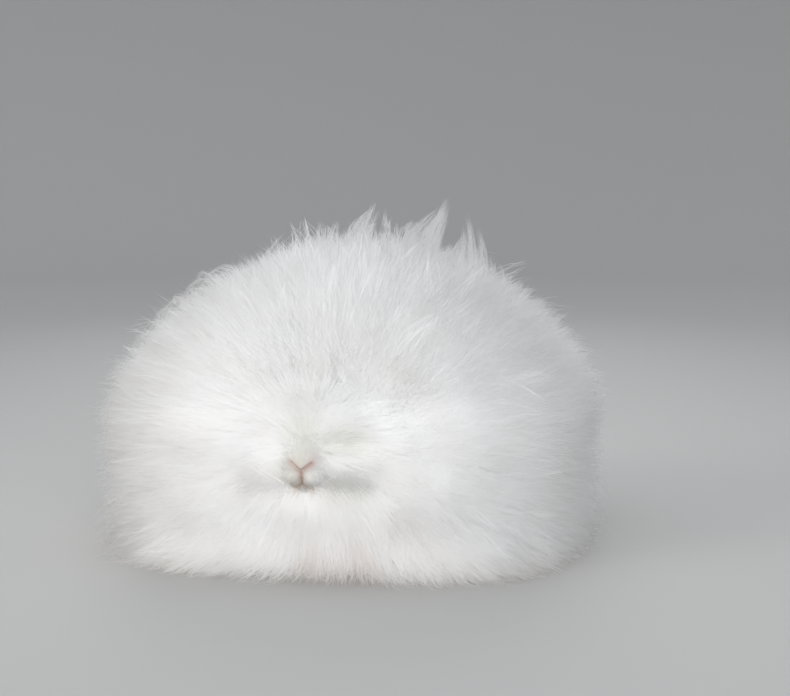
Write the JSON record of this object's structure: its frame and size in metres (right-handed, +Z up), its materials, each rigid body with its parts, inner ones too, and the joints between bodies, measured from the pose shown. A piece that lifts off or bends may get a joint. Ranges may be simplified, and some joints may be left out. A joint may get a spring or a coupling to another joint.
{
  "type": "angora rabbit",
  "caption": "Life-size still model of a white English angora rabbit in full show coat, sitting, its face half buried in a dome of long wool.",
  "frame": {"origin": "on the floor, at the middle of the small flat under the belly where the rabbit rests", "axes": "+Z up, -Y the way the rabbit faces, +X its left side"},
  "size_m": [0.5517, 0.5411, 0.3633],
  "materials": {
    "white_wool": "soft matt wool",
    "ruby_eye": "polished, opaque behind"
  },
  "bodies": {
    "root": {"head": "white_wool", "neck": "white_wool", "torso": "white_wool", "tail": "white_wool", "ear_left": "white_wool", "ear_right": "white_wool", "foreleg_left": "white_wool", "foreleg_right": "white_wool", "hind_leg_left": "white_wool", "hind_leg_right": "white_wool", "eye_left": "ruby_eye", "eye_right": "ruby_eye"}
  },
  "joints": []
}
